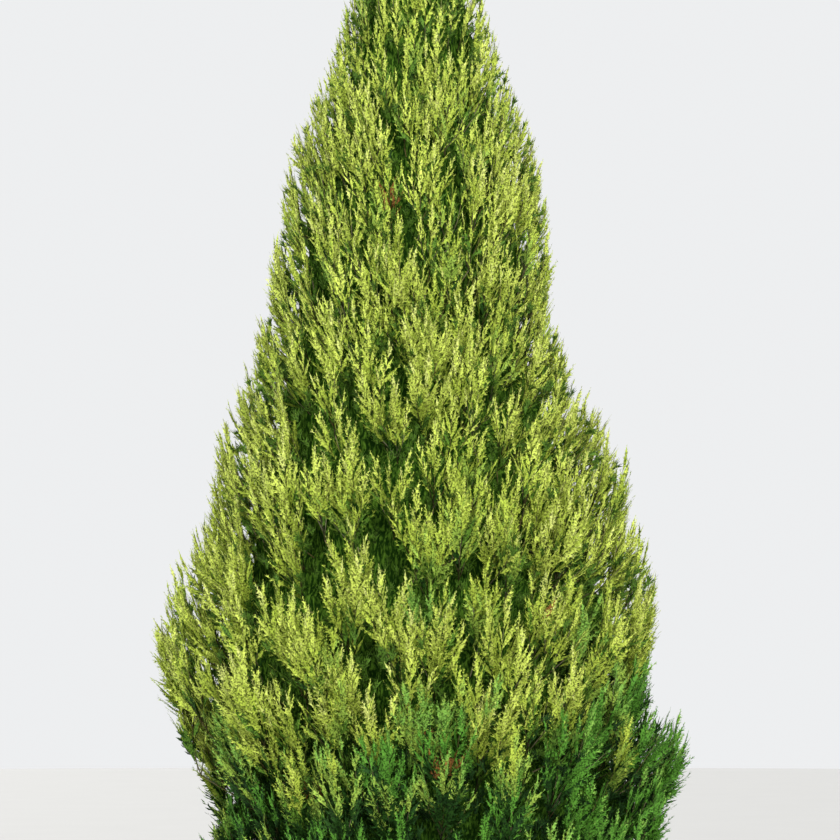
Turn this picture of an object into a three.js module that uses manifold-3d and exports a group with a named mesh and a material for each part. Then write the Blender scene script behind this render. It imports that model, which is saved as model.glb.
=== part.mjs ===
// Golden garden cypress: a tall, dense, pointed evergreen that is rooted in the ground.
// Millimetres, +Z up, with the origin on the ground under the middle of the trunk.
// Seen from the front, which is along +Y, +X lies to the right.
// A whole trunk carries rising boughs. Each bough carries one mass of upright flat sprays.

import * as THREE from "three";
import { mergeVertices } from "three/addons/utils/BufferGeometryUtils.js";
import Module from "manifold-3d";

const wasm = await Module();
wasm.setup();

// Driving dimensions.
const HEIGHT = 6250;
const CLEAR = 0.3;
const SEED = 4127;

// Crown outline: height above the ground, and reach from the trunk towards -X and +X.
const OUTLINE = [
  { height: 0, left: 760, right: 800 },
  { height: 420, left: 1010, right: 1060 },
  { height: 1000, left: 1130, right: 1210 },
  { height: 1330, left: 1060, right: 1310 },
  { height: 1600, left: 1150, right: 1390 },
  { height: 1800, left: 1270, right: 1200 },
  { height: 2050, left: 1390, right: 1210 },
  { height: 2430, left: 1310, right: 1270 },
  { height: 2680, left: 1120, right: 1140 },
  { height: 3030, left: 1080, right: 1120 },
  { height: 3430, left: 940, right: 870 },
  { height: 3870, left: 790, right: 730 },
  { height: 4180, left: 760, right: 760 },
  { height: 4740, left: 640, right: 680 },
  { height: 5190, left: 425, right: 480 },
  { height: 5500, left: 350, right: 400 },
  { height: 5900, left: 215, right: 245 },
  { height: HEIGHT, left: 14, right: 14 },
];

// Trunk.
const TRUNK_TOP = 6040;
const TRUNK_RADIUS = 86;
const TRUNK_TIP_RADIUS = 5;
const TRUNK_TAPER = 0.82;
const TRUNK_SIDES = 15;
const TRUNK_RINGS = 16;
const TRUNK_RING_CROWDING = 1.8;
const FLARE_REACH = 44;
const FLARE_HEIGHT = 130;
const FLARE_RIBS = 5;
const FLARE_RIB_DEPTH = 0.32;
const LEAN = new THREE.Vector2(-38, 26);
const BEND = new THREE.Vector2(17, -10);

// Rings of masses up the crown. Each space runs from low to high on the crown's outline.
const TIERS = [
  { name: "skirt", low: 40, high: 1550, masses: 6, turn: 0.35, rows: 3, columns: 2 },
  { name: "lower", low: 1550, high: 2480, masses: 6, turn: 0.05, rows: 3, columns: 2 },
  { name: "middle", low: 2480, high: 3420, masses: 6, turn: 0.6, rows: 3, columns: 2 },
  { name: "upper", low: 3420, high: 4250, masses: 5, turn: 0.2, rows: 3, columns: 2 },
  { name: "crest", low: 4250, high: 5080, masses: 4, turn: 0.5, rows: 3, columns: 2 },
];
const SPACE_GAP = 9;
const SECTOR_JITTER = 0.12;
const SECTOR_TWIST = 0.22;
const INNER_SHARE = 0.42;
const RISE_OF_BODY = 1.15;
const RISE_MORE_AT_TIP = 0.6;
const RISE_HEIGHT = 1500;

// Core of each mass, as shares of its space.
const CORE_SQUARENESS = 8;
const CORE_ACROSS = 1.06;
const CORE_NARROWING = 0.06;
const CORE_UP = 0.53;
const CORE_IN = 0.05;
const CORE_OUT = 0.8;
const CORE_UNDERCUT = 0.2;
const CORE_LUMPS = 0.06;
const CORE_STEPS = [3, 1, 3];

// Boughs and stems.
const BOUGH_SIDES = 5;
const BOUGH_RINGS = 3;
const BOUGH_RADIUS = 27;
const BOUGH_RADIUS_AT_TOP = 13;
const BOUGH_TIP_SHARE = 0.55;
const BOUGH_MEETS_AT = 0.3;
const BOUGH_SLOPE = 0.35;
const BOUGH_LOWEST = 90;
const BOUGH_SAG = 0.12;
const STEM_SIDES = 5;
const STEM_RINGS = 2;
const STEM_KNEE = 0.25;
const STEM_END = [0, 0.82, 0.5];
const FIRST_FORK = 0.2;
const LAST_FORK = 0.8;
const SIDE_FORK = 0.6;
const TWIG_RADIUS = 7;
const TWIG_TIP_RADIUS = 3.5;
const TWIG_SIDES = 3;

// Sprays: flat toothed blades. A twig carries three, with roots deep in the core.
const SPRAY_HEIGHT = 540;
const SPRAY_HEIGHT_AT_TIP = 300;
const LEAST_CLIMB = 90;
const SPRAY_WIDTH_SHARE = 0.19;
const SPRAY_THICKNESS_SHARE = 0.09;
const SPRAY_TWIST = 0.5;
const SPRAY_JITTER = 0.14;
const TIP_JITTER = 0.06;
const TOOTH_HEIGHT = 0.66;
const NOTCH_HEIGHT = 0.64;
const NOTCH_WIDTH = 0.45;
const RIDGE_HEIGHT = 0.46;
const ROOT_DEPTH = 0.13;
const FIRST_TIP = 0.22;
const LAST_TIP = 0.985;
const TIP_REACH = 0.995;
const SIDE_TIP_REACH = 0.98;
const MOST_REACH = 1.004;
const LOWEST_ROOT = 0.09;
const ROOT_ACROSS = 0.95;
const COLUMN_STAGGER = 0.14;
const ROW_JITTER = 0.4;
const SIDE_SPRAY_SHARE = 0.9;
const SIDE_SPRAY_SHIFT = 0.62;
const SIDE_SPRAY_DROP = 0.07;

// Spire: the mass round the top of the trunk.
const SPIRE_LOW = 5080;
const SPIRE_CORE_TOP = 6110;
const SPIRE_CORE_SHARE = 0.7;
const SPIRE_CORE_SIDES = 9;
const NARROW_SIDE = Math.PI;
const SPIRE_CORE_RINGS = 4;
const SPIRE_ROWS = 4;
const SPIRE_COLUMNS = 5;
const SPIRE_FIRST_ROOT = 5140;
const SPIRE_ROOT_SHARE = 0.5;

const UP = new THREE.Vector3(0, 0, 1);
const ASLANT = new THREE.Vector3(0.3, 0.2, -1);
const FULL_TURN = Math.PI * 2;
const SEARCH_STEPS = 30;
const CHAIN_START = 7919;
const CHAIN_FACTOR = 48271;
const CHAIN_PRIME = 2147483647;

const BARK = new THREE.MeshStandardMaterial({ color: 0x6e4f3a, roughness: 0.92, metalness: 0 });
const BOUGH_BARK = new THREE.MeshStandardMaterial({ color: 0x7a5238, roughness: 0.9, metalness: 0 });
const GREENS = [0x9aa92f, 0x8da032, 0xa7b43a, 0x7f9634].map(
  (color) => new THREE.MeshStandardMaterial({ color, roughness: 0.7, metalness: 0 }),
);

// The same numbers each time: a simple chain of remainders.
function seeded(seed) {
  let state = (seed * CHAIN_START) % CHAIN_PRIME;
  return () => {
    state = (state * CHAIN_FACTOR) % CHAIN_PRIME;
    return state / CHAIN_PRIME;
  };
}

function spread(random, size) {
  return (random() * 2 - 1) * size;
}

function smooth(share) {
  return THREE.MathUtils.smoothstep(share, 0, 1);
}

// The middle of the trunk at a height: a slight lean and one slow bend.
function axisAt(height) {
  const share = height / HEIGHT;
  const bend = Math.sin(share * Math.PI * 2);
  return new THREE.Vector3(LEAN.x * share + BEND.x * bend, LEAN.y * share + BEND.y * bend, height);
}

// How far the crown reaches from the trunk at a height and in a direction.
function reach(height, angle) {
  let step = 0;
  while (step < OUTLINE.length - 2 && OUTLINE[step + 1].height < height) {
    step += 1;
  }
  const low = OUTLINE[step];
  const high = OUTLINE[step + 1];
  const share = THREE.MathUtils.clamp((height - low.height) / (high.height - low.height), 0, 1);
  const left = THREE.MathUtils.lerp(low.left, high.left, share);
  const right = THREE.MathUtils.lerp(low.right, high.right, share);
  return THREE.MathUtils.lerp(left, right, (1 + Math.cos(angle)) / 2);
}

// How steeply the layers of foliage rise outward. They lie flat at the foot.
function rise(height) {
  return RISE_OF_BODY * smooth(height / RISE_HEIGHT) + (RISE_MORE_AT_TIP * height) / HEIGHT;
}

function outward(angle) {
  return new THREE.Vector3(Math.cos(angle), Math.sin(angle), 0);
}

// A point of the crown: direction, height where its layer meets the outline, and share of the reach.
function crownPoint(angle, rim, share) {
  const full = reach(rim, angle);
  const height = rim - rise(rim) * full * (1 - share);
  return axisAt(height).addScaledVector(outward(angle), full * share);
}

// The spaces of one ring of masses. u goes across, v goes up and w goes out.
function spacesOf(tier, index) {
  const random = seeded(SEED + index);
  const edges = [];
  for (let i = 0; i < tier.masses; i += 1) {
    edges.push(((i + tier.turn + spread(random, SECTOR_JITTER)) / tier.masses) * FULL_TURN);
  }
  return edges.map((edge, i) => {
    const next = i + 1 < edges.length ? edges[i + 1] : edges[0] + FULL_TURN;
    return { tier, low: edge, high: next, number: i + 1, seed: SEED + 100 * (index + 1) + i };
  });
}

function twist(space, v) {
  return ((SECTOR_TWIST * FULL_TURN) / space.tier.masses) * (v - 0.5);
}

function pointIn(space, u, v, w) {
  const { tier } = space;
  const rim = THREE.MathUtils.lerp(tier.low + SPACE_GAP, tier.high - SPACE_GAP, v);
  const margin = SPACE_GAP / (reach(rim, space.low) * INNER_SHARE);
  const angle =
    THREE.MathUtils.lerp(space.low + margin, space.high - margin, (u + 1) / 2) + twist(space, v);
  return crownPoint(angle, rim, THREE.MathUtils.lerp(INNER_SHARE, 1, w));
}

// The layer and the direction that a point of the crown lies in.
function placeOf(point) {
  const axis = axisAt(point.z);
  const angle = Math.atan2(point.y - axis.y, point.x - axis.x);
  const radius = Math.hypot(point.x - axis.x, point.y - axis.y);
  let low = 0;
  let high = 2 * HEIGHT;
  for (let i = 0; i < SEARCH_STEPS; i += 1) {
    const middle = (low + high) / 2;
    const height = middle - rise(middle) * (reach(middle, angle) - radius);
    if (height < point.z) {
      low = middle;
    } else {
      high = middle;
    }
  }
  return { angle, radius, rim: low, share: radius / reach(low, angle) };
}

function isIn(space, point) {
  const { tier } = space;
  const place = placeOf(point);
  const v = (place.rim - tier.low) / (tier.high - tier.low);
  const middle = (space.low + space.high) / 2 + twist(space, v);
  const half = (space.high - space.low) / 2 - SPACE_GAP / Math.max(place.radius, 1);
  const away = Math.atan2(Math.sin(place.angle - middle), Math.cos(place.angle - middle));
  const gap = SPACE_GAP / (tier.high - tier.low);
  const between = Math.abs(away) < half && v > gap && v < 1 - gap;
  return between && place.share > INNER_SHARE && place.share < MOST_REACH;
}

// A tapering limb: a cylinder whose rings follow a curve.
function limb(curve, side, radiusAt, sides, rings) {
  const cylinder = new THREE.CylinderGeometry(1, 1, 1, sides, rings);
  cylinder.deleteAttribute("normal");
  cylinder.deleteAttribute("uv");
  const geometry = mergeVertices(cylinder);
  const positions = geometry.attributes.position;
  const vertex = new THREE.Vector3();
  for (let i = 0; i < positions.count; i += 1) {
    vertex.fromBufferAttribute(positions, i);
    const along = vertex.y + 0.5;
    const tangent = curve.getTangent(along);
    const over = new THREE.Vector3().crossVectors(side, tangent).normalize();
    const across = new THREE.Vector3().crossVectors(tangent, over);
    const radius = radiusAt(along, Math.atan2(vertex.z, vertex.x));
    const place = curve.getPoint(along);
    place.addScaledVector(across, vertex.x * radius);
    place.addScaledVector(over, vertex.z * radius);
    positions.setXYZ(i, place.x, place.y, place.z);
  }
  return geometry;
}

function taper(start, end) {
  return (along) => THREE.MathUtils.lerp(start, end, along);
}

function solidOf(geometry) {
  const vertProperties = new Float32Array(geometry.attributes.position.array);
  const triVerts = new Uint32Array(geometry.index.array);
  return new wasm.Manifold(new wasm.Mesh({ numProp: 3, vertProperties, triVerts }));
}

function trunkRadius(height) {
  const share = Math.min(height / TRUNK_TOP, 1);
  return TRUNK_TIP_RADIUS + (TRUNK_RADIUS - TRUNK_TIP_RADIUS) * (1 - share) ** TRUNK_TAPER;
}

// The trunk from its flat cut on the ground, with ribbed root flare, to its tip.
function trunkSolid(extra) {
  const heightAt = (share) => (TRUNK_TOP + extra) * share ** TRUNK_RING_CROWDING;
  class TrunkLine extends THREE.Curve {
    getPoint(share) {
      return axisAt(heightAt(share));
    }
    getTangent() {
      return UP.clone();
    }
  }
  const radiusAt = (along, turn) => {
    const height = heightAt(along);
    const ribs = 1 + FLARE_RIB_DEPTH * Math.cos(FLARE_RIBS * turn);
    return trunkRadius(height) + FLARE_REACH * ribs * Math.exp(-height / FLARE_HEIGHT) + extra;
  };
  return solidOf(limb(new TrunkLine(), new THREE.Vector3(1, 0, 0), radiusAt, TRUNK_SIDES, TRUNK_RINGS));
}

// A flat spray: a pointed blade with a tooth on each side, flat behind and ridged in front.
function spray(root, tip, side) {
  const line = tip.clone().sub(root);
  const length = line.length();
  const direction = line.normalize();
  const face = new THREE.Vector3().crossVectors(side, direction).normalize();
  const across = new THREE.Vector3().crossVectors(direction, face);
  const at = (along, out, over) =>
    root.clone()
      .addScaledVector(direction, along * length)
      .addScaledVector(across, out * length * SPRAY_WIDTH_SHARE)
      .addScaledVector(face, over * length * SPRAY_THICKNESS_SHARE);
  const right = [at(TOOTH_HEIGHT, 1, 0), at(NOTCH_HEIGHT, NOTCH_WIDTH, 0)];
  const left = [at(NOTCH_HEIGHT, -NOTCH_WIDTH, 0), at(TOOTH_HEIGHT, -1, 0)];
  const rim = [at(0, 0, 0), ...right, at(1, 0, 0), ...left];
  const index = [0, 2, 1, 0, 4, 2, 2, 4, 3, 0, 5, 4];
  for (let i = 0; i < rim.length; i += 1) {
    index.push(i, (i + 1) % rim.length, rim.length);
  }
  const geometry = new THREE.BufferGeometry().setFromPoints([...rim, at(RIDGE_HEIGHT, 0, 1)]);
  geometry.setIndex(index);
  return { geometry, rim, root };
}

// The direction that a spray's teeth point in: round the crown, turned a little at random.
function acrossAt(tip, random) {
  const out = outward(placeOf(tip).angle);
  const round = new THREE.Vector3().crossVectors(UP, out);
  return round.addScaledVector(out, spread(random, SPRAY_TWIST)).normalize();
}

function sprayHeight(height) {
  return THREE.MathUtils.lerp(SPRAY_HEIGHT, SPRAY_HEIGHT_AT_TIP, height / HEIGHT);
}

// The three sprays of one twig in a space. The middle one stands highest and reaches the outline.
function spraysAt(space, u, v, random) {
  const { tier } = space;
  return [0, -1, 1].map((hand) => {
    const across = u + (hand * SIDE_SPRAY_SHIFT) / tier.columns;
    const top = v - Math.abs(hand) * SIDE_SPRAY_DROP;
    const out = hand === 0 ? TIP_REACH : SIDE_TIP_REACH - random() * TIP_JITTER;
    const tip = pointIn(space, across + spread(random, TIP_JITTER), top, out);
    const share = (hand === 0 ? 1 : SIDE_SPRAY_SHARE) * (1 + spread(random, SPRAY_JITTER));
    const inward = reach(tip.z, space.low) * (1 - INNER_SHARE) * (1 - CORE_OUT + ROOT_DEPTH);
    const climb = Math.max(sprayHeight(tip.z) * share - rise(tip.z) * inward, LEAST_CLIMB);
    const foot = Math.max(top - climb / (tier.high - tier.low), LOWEST_ROOT);
    const root = pointIn(space, across * ROOT_ACROSS, foot, coreSurface(foot) - ROOT_DEPTH);
    return spray(root, tip, acrossAt(tip, random));
  });
}

// How far out the core of a mass comes at a height in its space. It is cut back near the bottom.
function coreSurface(v) {
  return CORE_OUT - CORE_UNDERCUT * Math.max(1 - 2 * v, 0);
}

// The core of a mass: a rounded block that fills the middle of its space.
function coreOf(space) {
  const random = seeded(space.seed * 2);
  const block = new THREE.BoxGeometry(2, 2, 2, ...CORE_STEPS);
  block.deleteAttribute("normal");
  block.deleteAttribute("uv");
  const geometry = mergeVertices(block);
  const positions = geometry.attributes.position;
  const vertex = new THREE.Vector3();
  const power = CORE_SQUARENESS;
  for (let i = 0; i < positions.count; i += 1) {
    vertex.fromBufferAttribute(positions, i);
    const size = Math.abs(vertex.x) ** power + Math.abs(vertex.y) ** power + Math.abs(vertex.z) ** power;
    vertex.multiplyScalar((1 - random() * CORE_LUMPS) / size ** (1 / power));
    const u = vertex.x * CORE_ACROSS * (1 - (CORE_NARROWING * (vertex.z + 1)) / 2);
    const v = 0.5 + vertex.z * CORE_UP;
    const w = THREE.MathUtils.lerp(CORE_IN, coreSurface(v), (1 - vertex.y) / 2);
    const place = pointIn(space, u, v, w);
    positions.setXYZ(i, place.x, place.y, place.z);
  }
  return solidOf(geometry);
}

function twigOf(start, end) {
  const line = new THREE.LineCurve3(start, end);
  const direction = line.getTangent(0);
  const side = new THREE.Vector3().crossVectors(direction, ASLANT).normalize();
  return solidOf(limb(line, side, taper(TWIG_RADIUS, TWIG_TIP_RADIUS), TWIG_SIDES, 1));
}

// The largest piece of a solid, with any sealed hollow filled and loose scraps dropped.
function wholeOf(solid) {
  const pieces = solid.decompose();
  return pieces.reduce((best, piece) => (piece.volume() > best.volume() ? piece : best));
}

function meshOf(name, solid, material, origin) {
  const { vertProperties, triVerts } = solid.getMesh();
  const geometry = new THREE.BufferGeometry();
  geometry.setAttribute("position", new THREE.BufferAttribute(new Float32Array(vertProperties), 3));
  geometry.setIndex(new THREE.BufferAttribute(new Uint32Array(triVerts), 1));
  geometry.translate(-origin.x, -origin.y, -origin.z);
  geometry.computeVertexNormals();
  const mesh = new THREE.Mesh(geometry, material);
  mesh.name = name;
  mesh.position.copy(origin);
  return mesh;
}

// The path of a bough: out of the trunk, bending upward, to the inner side of its mass.
function boughPath(space) {
  const end = pointIn(space, 0, BOUGH_MEETS_AT, 0);
  const angle = placeOf(end).angle;
  const run = Math.hypot(end.x, end.y);
  const start = axisAt(Math.max(end.z - run * (BOUGH_SLOPE + rise(end.z) / 2), BOUGH_LOWEST));
  const bend = start.clone().lerp(end, 0.5);
  bend.z -= run * BOUGH_SAG;
  const side = outward(angle + FULL_TURN / 4);
  return { curve: new THREE.QuadraticBezierCurve3(start, bend, end), side };
}

function boughRadius(space) {
  return THREE.MathUtils.lerp(BOUGH_RADIUS, BOUGH_RADIUS_AT_TOP, space.tier.low / SPIRE_LOW);
}

function boughSolid(space, trunkRoom) {
  const { curve, side } = boughPath(space);
  const radius = boughRadius(space);
  const shape = limb(curve, side, taper(radius, radius * BOUGH_TIP_SHARE), BOUGH_SIDES, BOUGH_RINGS);
  return wholeOf(solidOf(shape).subtract(trunkRoom));
}

// A twig from a fork on the stem, with two side twigs, and a spray at each end. A spray that
// would leave its mass's space is skipped.
function twigSolids(space, fork, sprays) {
  const [middle] = sprays;
  const branch = fork.clone().lerp(middle.root, SIDE_FORK);
  const kept = sprays.filter((blade) => blade.rim.every((point) => isIn(space, point)));
  return kept.flatMap((blade) => [
    twigOf(blade === middle ? fork : branch, blade.root),
    solidOf(blade.geometry),
  ]);
}

// One mass: its stem goes on from the bough's tip, and twigs leave it for each set of sprays.
function massSolid(space) {
  const random = seeded(space.seed);
  const { tier } = space;
  const bough = boughPath(space);
  const tangent = bough.curve.getTangent(1);
  const foot = bough.curve.getPoint(1).addScaledVector(tangent, CLEAR);
  const knee = foot.clone().addScaledVector(tangent, STEM_KNEE * (tier.high - tier.low));
  const stem = new THREE.QuadraticBezierCurve3(foot, knee, pointIn(space, ...STEM_END));
  const radius = boughRadius(space) * BOUGH_TIP_SHARE;
  const stemShape = limb(stem, bough.side, taper(radius, TWIG_RADIUS), STEM_SIDES, STEM_RINGS);
  const solids = [coreOf(space), solidOf(stemShape)];
  for (let row = 0; row < tier.rows; row += 1) {
    const stagger = row % 2 === 0 ? COLUMN_STAGGER : -COLUMN_STAGGER;
    for (let column = 0; column < tier.columns; column += 1) {
      const u = ((column + 0.5) / tier.columns) * 2 - 1 + stagger + spread(random, TIP_JITTER);
      const v = THREE.MathUtils.lerp(FIRST_TIP, LAST_TIP, (row + 1 - random() * ROW_JITTER) / tier.rows);
      const fork = stem.getPoint(THREE.MathUtils.lerp(FIRST_FORK, LAST_FORK, row / tier.rows));
      solids.push(...twigSolids(space, fork, spraysAt(space, u, v, random)));
    }
  }
  return wholeOf(wasm.Manifold.union(solids));
}

// The spire: a pointed core round the top of the trunk, with sprays up to the very tip.
function spireSolid(trunkRoom) {
  const random = seeded(SEED * 2);
  const base = SPIRE_LOW + 2 * SPACE_GAP;
  const points = [new THREE.Vector2(0, crownPoint(NARROW_SIDE, base, 0).z)];
  for (let i = 0; i < SPIRE_CORE_RINGS; i += 1) {
    const rim = THREE.MathUtils.lerp(base, SPIRE_CORE_TOP, i / SPIRE_CORE_RINGS);
    const place = crownPoint(NARROW_SIDE, rim, SPIRE_CORE_SHARE);
    points.push(new THREE.Vector2(axisAt(place.z).x - place.x, place.z));
  }
  points.push(new THREE.Vector2(0, SPIRE_CORE_TOP));
  const lathe = new THREE.LatheGeometry(points, SPIRE_CORE_SIDES);
  lathe.deleteAttribute("normal");
  lathe.deleteAttribute("uv");
  lathe.rotateX(Math.PI / 2);
  const middle = axisAt((SPIRE_LOW + SPIRE_CORE_TOP) / 2);
  lathe.translate(middle.x, middle.y, 0);
  const solids = [solidOf(mergeVertices(lathe))];
  for (let row = 0; row < SPIRE_ROWS; row += 1) {
    for (let column = 0; column < SPIRE_COLUMNS; column += 1) {
      const turn = column + (row % 2) / 2 + spread(random, SECTOR_JITTER);
      const angle = (turn / SPIRE_COLUMNS) * FULL_TURN;
      const share = (row + random() * ROW_JITTER) / SPIRE_ROWS;
      const rim = THREE.MathUtils.lerp(SPIRE_FIRST_ROOT, HEIGHT - SPRAY_HEIGHT_AT_TIP, share);
      const root = crownPoint(angle, rim, SPIRE_ROOT_SHARE);
      const tip = crownPoint(angle + spread(random, TIP_JITTER), rim + SPRAY_HEIGHT_AT_TIP, TIP_REACH);
      solids.push(solidOf(spray(root, tip, acrossAt(tip, random)).geometry));
    }
  }
  const leader = axisAt(HEIGHT);
  const foot = leader.clone().addScaledVector(UP, -SPRAY_HEIGHT_AT_TIP);
  for (const side of [new THREE.Vector3(1, 0, 0), new THREE.Vector3(0, 1, 0)]) {
    solids.push(solidOf(spray(foot, leader, side).geometry));
  }
  return wholeOf(wasm.Manifold.union(solids).subtract(trunkRoom));
}

const tree = new THREE.Group();
const origin = new THREE.Vector3();
const trunkRoom = trunkSolid(CLEAR);
tree.add(meshOf("trunk", trunkSolid(0), BARK, origin));

const boughs = new THREE.Group();
const foliage = new THREE.Group();
tree.add(boughs, foliage);

TIERS.forEach((tier, index) => {
  for (const space of spacesOf(tier, index)) {
    const { curve } = boughPath(space);
    const bough = boughSolid(space, trunkRoom);
    boughs.add(meshOf(`bough_${tier.name}_${space.number}`, bough, BOUGH_BARK, curve.getPoint(0)));
    const green = GREENS[(index + space.number) % GREENS.length];
    foliage.add(meshOf(`foliage_${tier.name}_${space.number}`, massSolid(space), green, curve.getPoint(1)));
  }
});
foliage.add(meshOf("foliage_spire", spireSolid(trunkRoom), GREENS[0], axisAt(SPIRE_LOW)));

export default tree;
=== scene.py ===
"""Golden garden cypress: a tall, dense, pointed evergreen with upright feathery plumes.

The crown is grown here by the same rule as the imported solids, carried on to finer twigs.
Metres, +Z up, with the origin on the ground under the middle of the trunk.
"""

import math

import bpy
import numpy as np
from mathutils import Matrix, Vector


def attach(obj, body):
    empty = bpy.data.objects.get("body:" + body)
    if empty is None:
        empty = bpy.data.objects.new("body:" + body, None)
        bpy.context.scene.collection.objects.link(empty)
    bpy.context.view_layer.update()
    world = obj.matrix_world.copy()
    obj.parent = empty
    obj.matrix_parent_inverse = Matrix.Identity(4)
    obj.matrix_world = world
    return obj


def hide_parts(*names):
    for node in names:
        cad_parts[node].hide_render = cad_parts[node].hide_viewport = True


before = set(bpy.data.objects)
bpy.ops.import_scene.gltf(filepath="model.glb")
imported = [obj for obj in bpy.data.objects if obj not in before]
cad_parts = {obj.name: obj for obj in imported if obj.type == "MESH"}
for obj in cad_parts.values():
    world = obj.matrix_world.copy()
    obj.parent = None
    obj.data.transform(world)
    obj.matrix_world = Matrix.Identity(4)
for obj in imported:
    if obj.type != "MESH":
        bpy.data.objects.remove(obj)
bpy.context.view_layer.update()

bl_info = {
    "name": "Garden Cypress",
    "version": (1, 0, 0),
    "blender": (4, 5, 0),
    "location": "View3D > Sidebar > Cypress",
    "description": "Grows a golden garden cypress round its packed solids",
    "category": "Object",
}

BODY = "root"
FULL_TURN = 2 * math.pi
UP = np.array([0.0, 0.0, 1.0])
ASLANT = np.array([0.3, 0.2, -1.0])
PACKED_NODES = sorted(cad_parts)
BOUGH_NODES = [node for node in PACKED_NODES if node.startswith("bough_")]
FOLIAGE_NODES = [node for node in PACKED_NODES if node.startswith("foliage_")]

# Crown outline: height, and reach from the trunk towards -X and +X.
HEIGHT = 6.25
OUTLINE = np.array([
    (0.00, 0.760, 0.800),
    (0.42, 1.010, 1.060),
    (1.00, 1.130, 1.210),
    (1.33, 1.060, 1.310),
    (1.60, 1.150, 1.390),
    (1.80, 1.270, 1.200),
    (2.05, 1.390, 1.210),
    (2.43, 1.310, 1.270),
    (2.68, 1.120, 1.140),
    (3.03, 1.080, 1.120),
    (3.43, 0.940, 0.870),
    (3.87, 0.790, 0.730),
    (4.18, 0.760, 0.760),
    (4.74, 0.640, 0.680),
    (5.19, 0.425, 0.480),
    (5.50, 0.350, 0.400),
    (5.90, 0.215, 0.245),
    (HEIGHT, 0.014, 0.014),
])

# Rings of masses: name, lowest and highest rim, masses, turn, rows and columns of twigs,
# and the plumes that branch from each twig's own plume.
TIERS = [
    ("skirt", 0.04, 1.55, 6, 0.35, 7, 4, 4),
    ("lower", 1.55, 2.48, 6, 0.05, 5, 5, 4),
    ("middle", 2.48, 3.42, 6, 0.60, 6, 4, 4),
    ("upper", 3.42, 4.25, 5, 0.20, 6, 4, 3),
    ("crest", 4.25, 5.08, 4, 0.50, 6, 5, 3),
]

# Spaces of the masses: the gap between rings, how unevenly a ring is shared out and how far a space
# turns on its way up, where a mass starts as a share of the reach, and how steeply layers rise.
SPACE_GAP = 0.009
SECTOR_JITTER = 0.12
SECTOR_TWIST = 0.22
INNER_SHARE = 0.42
RISE_OF_BODY = 1.15
RISE_MORE_AT_TIP = 0.6
RISE_HEIGHT = 1.5

# The seed of the tree, and the chain of remainders that deals out its numbers.
SEED = 4127
CHAIN_START = 7919
CHAIN_FACTOR = 48271
CHAIN_PRIME = 2147483647

# Trunk, boughs, stems, twigs, and the spines of plumes.
TRUNK_TOP = 6.04
TRUNK_RADIUS = 0.086
TRUNK_TIP_RADIUS = 0.005
TRUNK_TAPER = 0.82
FLARE_REACH = 0.044
FLARE_HEIGHT = 0.13
FLARE_RIBS = 5
FLARE_RIB_DEPTH = 0.32
LEAN = (-0.038, 0.026)
BEND = (0.017, -0.010)
BOUGH_RADIUS = 0.027
BOUGH_RADIUS_AT_TOP = 0.013
BOUGH_TIP_SHARE = 0.55
BOUGH_MEETS_AT = 0.3
BOUGH_SLOPE = 0.35
BOUGH_LOWEST = 0.09
BOUGH_SAG = 0.12
STEM_KNEE = 0.25
STEM_END = (0.0, 0.82, 0.5)
STEM_TIP_RADIUS = 0.007
FIRST_FORK = 0.2
LAST_FORK = 0.8
TWIG_RADIUS = 0.006
TWIG_SAG = 0.02
SPINE_RADIUS = 0.0035
SPINE_TIP_RADIUS = 0.0005

# Bark: the ribs round a limb with their weights, how far they wander and break up along it, and how
# deep the furrows are, in metres and at most as a share of the radius.
BARK_RIBS = ((9, 0.30), (17, 0.30), (29, 0.25), (43, 0.15))
WANDER_SIZE = 0.9
WANDER_PACE = 5
WANDER_PACE_SPREAD = 4
BREAK_SIZE = 0.6
BREAK_PACE = 19
BREAK_TURN = 3
TRUNK_FURROW_SHARE = 0.1
BOUGH_FURROW = 0.003
STEM_FURROW = 0.002
BOUGH_FURROW_SHARE = 0.12

# Meshes of limbs and of the shaded inside: sides and rings, and how the trunk's rings crowd low down.
TRUNK_MESH = (56, 150)
TRUNK_CROWDING = 1.8
BOUGH_MESH = (12, 22)
STEM_MESH = (8, 12)
TWIG_MESH = (3, 1)
SPINE_MESH = (3, 2)
INSIDE_MESH = (80, 90)

# Plumes: where they stand. A pair goes from the foot of the crown to its spire, and a knee is a
# share of a plume's run outward and of its climb.
FIRST_TIP = 0.04
LAST_TIP = 0.985
TIP_REACH = 0.985
REACH_JITTER = 0.06
ROW_JITTER = 0.8
COLUMN_JITTER = 0.08
COLUMN_STAGGER = 0.12
COLUMN_OVERLAP = 1.06
ROOT_LOWEST = 0.05
PLUME_LEAN = (0.50, 0.22)
LEAN_JITTER = 0.4
LENGTH_JITTER = 0.15
PLUME_KNEE = (0.72, 0.34)
PLUME_TWIST = 0.7
BRANCH_FIRST = 0.0
BRANCH_LAST = 0.30
BRANCH_WIDTH = (0.13, 0.07)
BRANCH_NARROWEST = 0.55
BRANCH_WIDENING = 0.75
BRANCH_KNEE = (0.70, 0.40)
BRANCH_DROP = 0.5
BRANCH_STEP = 0.05
SPIRE_LOW = 5.08
SPIRE_TOP_GAP = 0.02
SPIRE_ROWS = 16
SPIRE_COLUMNS = 13
SPIRE_ROW_JITTER = 0.7
SPIRE_COLUMN_JITTER = 0.2
SPIRE_FORK_DROP = 0.1

# Shaded inside: its foot and top, the height over which it closes to a point, its reach and lumps.
INSIDE_FOOT = 0.07
INSIDE_TOP = 6.15
INSIDE_CLOSING = 0.5
INSIDE_REACH = 0.76
INSIDE_LUMPS = 0.05

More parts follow.
